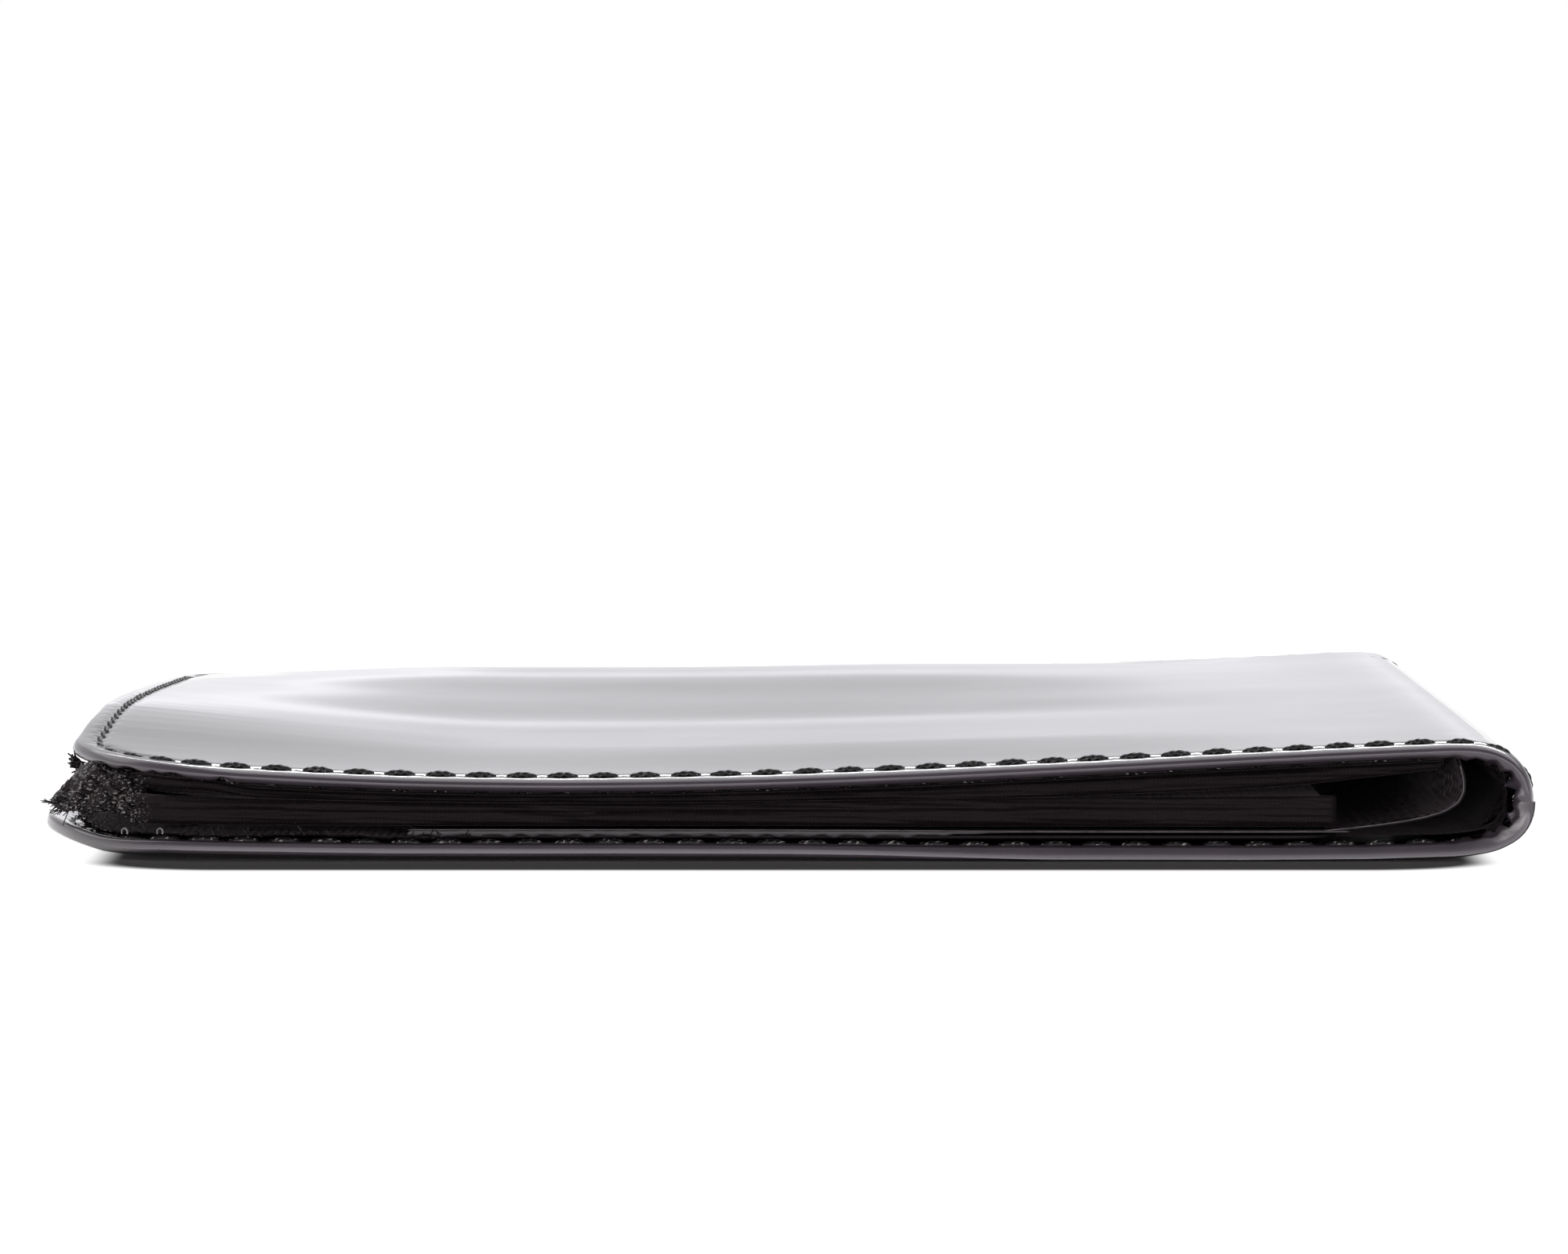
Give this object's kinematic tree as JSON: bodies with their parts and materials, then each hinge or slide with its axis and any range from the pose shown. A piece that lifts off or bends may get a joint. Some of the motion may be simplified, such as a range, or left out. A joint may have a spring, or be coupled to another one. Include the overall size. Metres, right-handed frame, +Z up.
{
  "type": "l-fold wallet",
  "caption": "Folded tall bifold wallet in glossy black leather, with turned sewn edges, card pockets and a turning leaf with a clear window.",
  "frame": {"origin": "on the table, under the middle of the folded wallet's box", "axes": "+X from the open end to the spine, +Y from the near edge, where notes go in, to the far edge, +Z up"},
  "size_m": [0.0976, 0.115, 0.0082],
  "materials": {
    "cover_leather": "glossy smooth black leather with a fine grain",
    "inner_leather": "thin black leather, satin",
    "woven_lining": "plain black woven lining, fraying at its cut ends",
    "sewing_thread": "twisted black polyester thread",
    "board": "matt pressed-fibre interlining",
    "clear_film": "clear soft vinyl film"
  },
  "bodies": {
    "back": {"back_cover": "cover_leather", "back_interlining": "board", "back_lining": "woven_lining", "back_slip_pocket": "inner_leather", "back_needle_thread": "sewing_thread", "back_bobbin_thread": "sewing_thread"},
    "spine": {"spine_cover": "cover_leather", "spine_stay": "board", "spine_lining": "woven_lining", "spine_needle_thread_near": "sewing_thread", "spine_needle_thread_far": "sewing_thread", "spine_bobbin_thread_near": "sewing_thread", "spine_bobbin_thread_far": "sewing_thread"},
    "front": {"front_cover": "cover_leather", "front_interlining": "board", "front_lining": "woven_lining", "front_inner_panel": "inner_leather", "front_slip_pocket": "inner_leather", "card_pocket_1_back": "woven_lining", "card_pocket_1_face": "inner_leather", "card_pocket_2_back": "woven_lining", "card_pocket_2_face": "inner_leather", "card_pocket_3_back": "woven_lining", "card_pocket_3_face": "inner_leather", "card_pocket_4_back": "woven_lining", "card_pocket_4_face": "inner_leather", "front_needle_thread": "sewing_thread", "front_bobbin_thread": "sewing_thread"},
    "leaf": {"leaf_frame": "inner_leather", "leaf_window": "clear_film", "leaf_back": "inner_leather", "leaf_hinge_strip": "inner_leather"}
  },
  "joints": [
    {"name": "spine_fold", "type": "hinge", "parent": "back", "child": "spine", "pos_m": [0.04716, 0, 0.00084], "axis": [0, 1, 0], "range_deg": [0, 90], "deforming": ["spine_cover", "spine_lining", "spine_needle_thread_near", "spine_needle_thread_far", "spine_bobbin_thread_near", "spine_bobbin_thread_far"]},
    {"name": "cover_fold", "type": "hinge", "parent": "spine", "child": "front", "pos_m": [0.04716, 0, 0.00696], "axis": [0, 1, 0], "range_deg": [0, 90]},
    {"name": "leaf_turn", "type": "hinge", "parent": "front", "child": "leaf", "pos_m": [0.04375, 0, 0.0068], "axis": [0, 1, 0], "range_deg": [-90, 0], "deforming": ["leaf_hinge_strip"]}
  ],
  "couplings": [
    {"joint": "cover_fold", "follows": "spine_fold", "ratio": 1},
    {"joint": "leaf_turn", "follows": "spine_fold", "ratio": -1}
  ]
}
